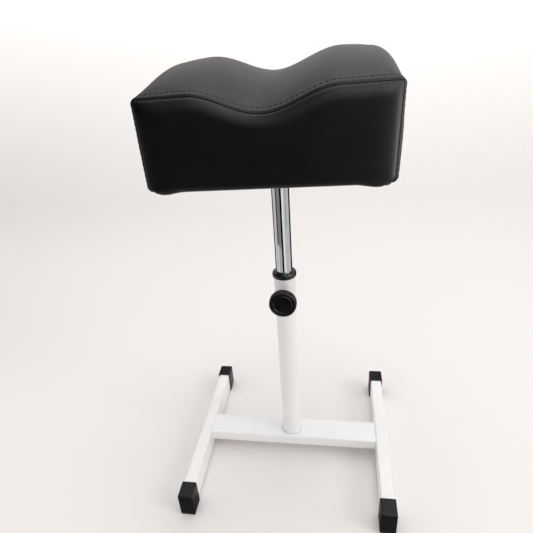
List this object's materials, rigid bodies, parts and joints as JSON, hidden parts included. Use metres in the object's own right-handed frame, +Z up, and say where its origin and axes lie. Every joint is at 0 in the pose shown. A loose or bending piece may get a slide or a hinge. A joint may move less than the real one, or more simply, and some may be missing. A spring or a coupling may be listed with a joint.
{
  "type": "pedicure footrest",
  "caption": "Free-standing footrest: a saddle-shaped padded cushion on a sliding, swivelling chromed post, clamped by a knob in a white steel H-shaped stand",
  "frame": {"origin": "on the floor, under the axis of the column, which is the centre of the base", "axes": "+Z up along the column; X along the cross beam and the cushion's length; the clamp knob faces -Y; +Y is the back"},
  "size_m": [0.3446, 0.3466, 0.6574],
  "materials": {
    "white_steel": "smooth white powder coat",
    "black_plastic": "moulded, fine matt",
    "gloss_black_plastic": "smooth, semi-gloss",
    "chrome": "polished chrome plate",
    "zinc_steel": "bright zinc plate",
    "black_leatherette": "satin leatherette with a fine grain",
    "plywood": "bare birch plywood",
    "foam": "open upholstery foam",
    "underside_fabric": "black non-woven cloth"
  },
  "bodies": {
    "base": {"rail_left": "white_steel", "rail_right": "white_steel", "cross_beam": "white_steel", "column_tube": "white_steel", "column_collar": "black_plastic", "clamp_boss": "white_steel", "end_cap_front_left": "black_plastic", "end_cap_front_right": "black_plastic", "end_cap_back_left": "black_plastic", "end_cap_back_right": "black_plastic"},
    "lift": {"post_glide": "black_plastic"},
    "head": {"post_tube": "chrome", "mounting_plate": "white_steel", "plate_screw_front_left": "zinc_steel", "plate_screw_front_right": "zinc_steel", "plate_screw_back_left": "zinc_steel", "plate_screw_back_right": "zinc_steel", "underside_cloth": "underside_fabric", "base_board": "plywood", "foam_core": "foam", "cover_band": "black_leatherette", "cover_front": "black_leatherette", "cover_back": "black_leatherette"},
    "clamp_tip": {"pressure_pad": "black_plastic"},
    "knob": {"clamp_stud": "zinc_steel", "knob_body": "black_plastic", "knob_disc": "gloss_black_plastic"}
  },
  "joints": [
    {"name": "height_slide", "type": "slide", "parent": "base", "child": "lift", "axis": [0, 0, 1], "range_m": [-0.15, 0.06]},
    {"name": "head_swivel", "type": "hinge", "parent": "lift", "child": "head", "pos_m": [0, 0, 0.1914], "axis": [0, 0, 1], "continuous": true},
    {"name": "clamp_travel", "type": "slide", "parent": "base", "child": "clamp_tip", "axis": [0, -1, 0], "range_m": [0, 0.00375]},
    {"name": "knob_turn", "type": "hinge", "parent": "clamp_tip", "child": "knob", "pos_m": [0, -0.043, 0.3299], "axis": [0, -1, 0], "range_deg": [0, 1081]}
  ],
  "couplings": [
    {"joint": "knob_turn", "follows": "clamp_travel", "rad_per_m": 5026.5}
  ]
}
